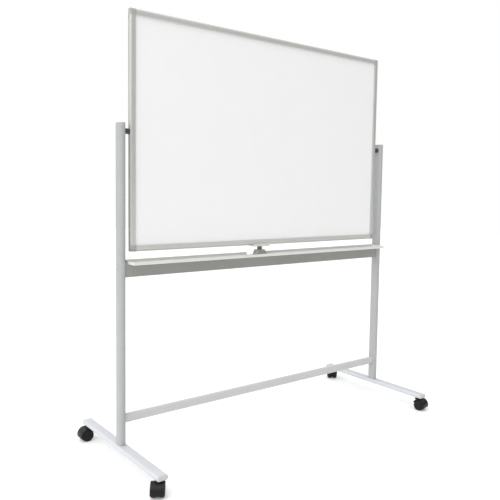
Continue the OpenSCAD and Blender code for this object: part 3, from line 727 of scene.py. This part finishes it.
def build_neck(name, place):
    """The collar on top of a caster, which turns on the stem."""
    bore = 4.1 * MM
    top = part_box(f"caster_{name}_body")[1].z
    outline = [(bore, top - 20 * MM), (6.5 * MM, top - 20 * MM), (6.5 * MM, top - 12 * MM)]
    outline += [(14.5 * MM, top - 9.5 * MM), (12.6 * MM, top - 6.6 * MM), (11.3 * MM, top - 4.2 * MM)]
    outline += [(11 * MM, top - 0.8 * MM), (10.2 * MM, top), (bore, top)]
    mesh = bmesh.new()
    turned(mesh, outline, place, 56)
    new_piece(f"caster_{name}_neck", mesh, "caster_" + name, "caster_plastic", NYLON)


def build_casters():
    """Four twin-wheel casters."""
    for name in CASTERS:
        place, trail = caster_place(name)
        wheel_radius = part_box(f"caster_{name}_wheel_a")[1].z / 2
        hood_radius = wheel_radius + 5 * MM
        centre = (trail, wheel_radius)
        build_wheels(name, place, trail, wheel_radius)
        build_hood(name, place, centre, hood_radius)
        build_web(name, place, centre, hood_radius, wheel_radius)
        build_hub(name, place, centre)
        build_neck(name, place)
        paint(nodes[f"caster_{name}_axle"], ZINC)


# ---------- studio ----------


def build_floor():
    """A wide, plain, pale floor."""
    mesh = bmesh.new()
    reach = 14.0
    for x, y in ((-reach, -reach), (reach, -reach), (reach, reach), (-reach, reach)):
        mesh.verts.new((x, y, 0))
    mesh.faces.new(mesh.verts)
    data = bpy.data.meshes.new("floor")
    mesh.to_mesh(data)
    mesh.free()
    floor = bpy.data.objects.new("floor", data)
    bpy.context.scene.collection.objects.link(floor)
    material = bpy.data.materials.new("floor_paper")
    material.use_nodes = True
    tree = material.node_tree
    coords = add_node(tree, "ShaderNodeTexCoord").outputs["Object"]
    shader = tree.nodes["Principled BSDF"]
    tone = mix_colour(tree, noise(tree, coords, 2.0), (0.86, 0.86, 0.86, 1), (0.88, 0.88, 0.88, 1))
    tree.links.new(tone, shader.inputs["Base Color"])
    shader.inputs["Roughness"].default_value = 0.9
    shader.inputs["Specular IOR Level"].default_value = 0.1
    shader.inputs["Emission Color"].default_value = (1, 1, 1, 1)
    shader.inputs["Emission Strength"].default_value = 0.12
    floor.data.materials.append(material)


def build_sky():
    """Soft studio light, strongest from above and from the left, in front of a white backdrop."""
    world = bpy.data.worlds.new("studio")
    world.use_nodes = True
    tree = world.node_tree
    light = tree.nodes["Background"]
    direction = add_node(tree, "ShaderNodeTexCoord").outputs["Generated"]
    lean = add_node(
        tree, "ShaderNodeVectorMath", {0: direction, 1: (-0.52, 0.10, 1.04)}, operation="DOT_PRODUCT",
    )
    level = add_node(tree, "ShaderNodeMath", {0: lean.outputs["Value"], 1: 0.50}, operation="ADD")
    bounded = add_node(tree, "ShaderNodeClamp", {"Value": level.outputs[0], "Min": 0.22, "Max": 2.0})
    tree.links.new(bounded.outputs["Result"], light.inputs["Strength"])
    light.inputs["Color"].default_value = (1, 1, 1, 1)
    backdrop = add_node(tree, "ShaderNodeBackground", {"Color": (1, 1, 1, 1), "Strength": 1.0})
    seen = add_node(tree, "ShaderNodeLightPath").outputs["Is Camera Ray"]
    both = add_node(tree, "ShaderNodeMixShader", {0: seen, 1: light.outputs[0], 2: backdrop.outputs[0]})
    tree.links.new(both.outputs[0], tree.nodes["World Output"].inputs["Surface"])
    bpy.context.scene.world = world


def add_softbox(name, place, target, size, watts):
    """A square area light that points at a target."""
    data = bpy.data.lights.new(name, "AREA")
    data.size = size
    data.energy = watts
    lamp = bpy.data.objects.new(name, data)
    bpy.context.scene.collection.objects.link(lamp)
    lamp.location = place
    lamp.rotation_mode = "QUATERNION"
    lamp.rotation_quaternion = (Vector(target) - Vector(place)).to_track_quat("-Z", "Y")


def add_camera():
    """Front left of the board, a little above its lower edge, looking slightly down."""
    data = bpy.data.cameras.new("camera")
    data.sensor_width = 36.0
    data.lens = 44.49
    data.shift_x = -0.0496
    data.shift_y = -0.0303
    yaw, pitch, roll = math.radians(39.04), math.radians(-4.24), math.radians(0.974)
    view = Vector((math.sin(yaw) * math.cos(pitch), math.cos(yaw) * math.cos(pitch), math.sin(pitch)))
    right = Vector((math.cos(yaw), -math.sin(yaw), 0))
    up = right.cross(view)
    right, up = (
        right * math.cos(roll) + up * math.sin(roll),
        up * math.cos(roll) - right * math.sin(roll),
    )
    place = (-1.928, -2.422, 1.197)
    camera = bpy.data.objects.new("camera", data)
    bpy.context.scene.collection.objects.link(camera)
    camera.matrix_world = axes(place, right, up, -view)
    bpy.context.scene.camera = camera


def build_studio():
    """Floor, light and camera."""
    build_floor()
    build_sky()
    add_softbox("key", (-4.6, -2.6, 6.4), (0, 0, 0.9), 5.0, 165)
    add_camera()
    view = bpy.context.scene.view_settings
    view.view_transform = "Standard"
    view.look = "None"


dress_stand()
build_caps()
build_bar_bolts()
build_low_screws()
build_tray_screws()
build_foot_bolts()
dress_board()
build_frame_screws()
build_lock()
build_casters()
build_studio()
